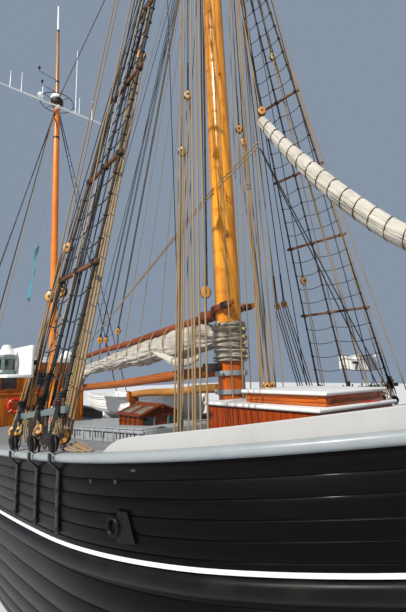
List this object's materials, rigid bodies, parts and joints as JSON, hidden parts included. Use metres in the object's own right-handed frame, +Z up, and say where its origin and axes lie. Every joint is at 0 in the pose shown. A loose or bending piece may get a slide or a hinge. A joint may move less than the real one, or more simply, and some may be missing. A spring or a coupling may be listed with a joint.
{
  "type": "sailing ship",
  "caption": "Two-masted gaff-rigged wooden sailing ship with furled sails, black hull, grey-blue rail, deck hatches, ship's boat and wheelhouse.",
  "frame": {"origin": "on the waterline amidships, on the centreline", "axes": "+X towards the bow, +Y to port, +Z up"},
  "size_m": [25.2819, 6.86, 22.4515],
  "materials": {
    "black_paint": "glossy black paint over planking, weathered",
    "grey_blue": "satin grey-blue paint on wood",
    "deck_grey": "worn grey-blue deck paint on planks",
    "white_paint": "satin white paint on wood",
    "varnish": "varnished pine, satin to glossy",
    "red_brown": "dark red-brown varnish, glossy",
    "oiled_wood": "oiled dark wood",
    "canvas": "grey-white sailcloth",
    "tarred_wire": "tarred rope over wire",
    "iron": "painted wrought iron",
    "bronze": "bronze, dull",
    "teal_cloth": "teal flag cloth"
  },
  "bodies": {
    "hull": {"hull": "black_paint", "deck": "deck_grey", "keel": "black_paint", "stem": "black_paint", "sternpost": "black_paint", "main_mast": "varnish", "main_topmast": "varnish", "main_crosstrees": "oiled_wood", "main_cap": "iron", "mizzen_mast": "varnish", "mizzen_yard": "white_paint", "stowed_spar": "varnish", "spar_crutch": "varnish", "fore_coaming": "red_brown", "fore_slab": "white_paint", "companion_box": "red_brown", "cargo_hatch": "grey_blue", "skylight_box": "red_brown", "ships_boat": "white_paint", "boat_chock_fore": "white_paint", "boat_chock_aft": "white_paint", "wheelhouse_walls": "varnish", "wheelhouse_roof": "white_paint", "helm_pedestal": "varnish", "windlass_bitts": "varnish", "furled_staysail": "canvas", "forestay": "tarred_wire", "jib_stay": "tarred_wire", "spring_stay": "tarred_wire", "bobstay": "iron", "pennant": "teal_cloth", "bowsprit": "varnish", "bulwark_transom": "black_paint", "bulwark_starboard": "black_paint", "bulwark_port": "black_paint", "cap_rail_starboard": "grey_blue", "cap_rail_port": "grey_blue", "wash_strake_starboard": "white_paint", "wash_strake_port": "white_paint", "rubbing_strake_starboard": "black_paint", "rubbing_strake_port": "black_paint", "sidelight_starboard": "white_paint", "sidelight_port": "white_paint", "main_shrouds_starboard": "tarred_wire", "main_shrouds_port": "tarred_wire", "mizzen_shrouds_starboard": "tarred_wire", "mizzen_shrouds_port": "tarred_wire"},
    "main_boom": {"main_boom": "varnish", "main_gaff": "oiled_wood", "furled_mainsail": "canvas", "luff_hoops": "canvas"},
    "rudder": {"rudder": "black_paint"},
    "propeller": {"propeller": "bronze"},
    "helm_wheel": {"helm_wheel": "varnish"},
    "wheelhouse_door": {"wheelhouse_door": "varnish"},
    "companion_lid": {"companion_lid": "white_paint"},
    "skylight_lid_starboard": {"skylight_lid_starboard": "red_brown"},
    "skylight_lid_port": {"skylight_lid_port": "red_brown"},
    "windlass_barrel": {"windlass_barrel": "iron"}
  },
  "joints": [
    {"name": "rudder_swing", "type": "hinge", "parent": "hull", "child": "rudder", "pos_m": [-9.23808, 0, 0], "axis": [-0.1854, 0, 0.9827], "range_deg": [-35, 35]},
    {"name": "helm_turn", "type": "hinge", "parent": "hull", "child": "helm_wheel", "pos_m": [-5.96, 0, 2.33], "axis": [1, 0, 0], "range_deg": [-270, 270]},
    {"name": "propeller_spin", "type": "hinge", "parent": "hull", "child": "propeller", "pos_m": [-8.46, 0, -1.04], "axis": [1, 0, 0], "continuous": true},
    {"name": "main_boom_swing", "type": "hinge", "parent": "hull", "child": "main_boom", "pos_m": [3.5, 0, 1.7], "axis": [-0.0314, 0, 0.9995], "range_deg": [-65, 65]},
    {"name": "wheelhouse_door_swing", "type": "hinge", "parent": "hull", "child": "wheelhouse_door", "pos_m": [-7.432, 1.446, 2.3], "axis": [0, 0, -1], "range_deg": [0, 100]},
    {"name": "companion_lid_slide", "type": "slide", "parent": "hull", "child": "companion_lid", "axis": [1, 0, 0], "range_m": [0, 0.6]},
    {"name": "skylight_starboard_lift", "type": "hinge", "parent": "hull", "child": "skylight_lid_starboard", "pos_m": [1.1, -0.04731, 2.17693], "axis": [-1, 0, 0], "range_deg": [0, 60]},
    {"name": "skylight_port_lift", "type": "hinge", "parent": "hull", "child": "skylight_lid_port", "pos_m": [1.1, 0.04731, 2.17693], "axis": [1, 0, 0], "range_deg": [0, 60]},
    {"name": "windlass_spin", "type": "hinge", "parent": "hull", "child": "windlass_barrel", "pos_m": [7.15, 0, 2.55], "axis": [0, 1, 0], "continuous": true}
  ],
  "couplings": [
    {"joint": "helm_turn", "follows": "rudder_swing", "ratio": 7.7}
  ]
}
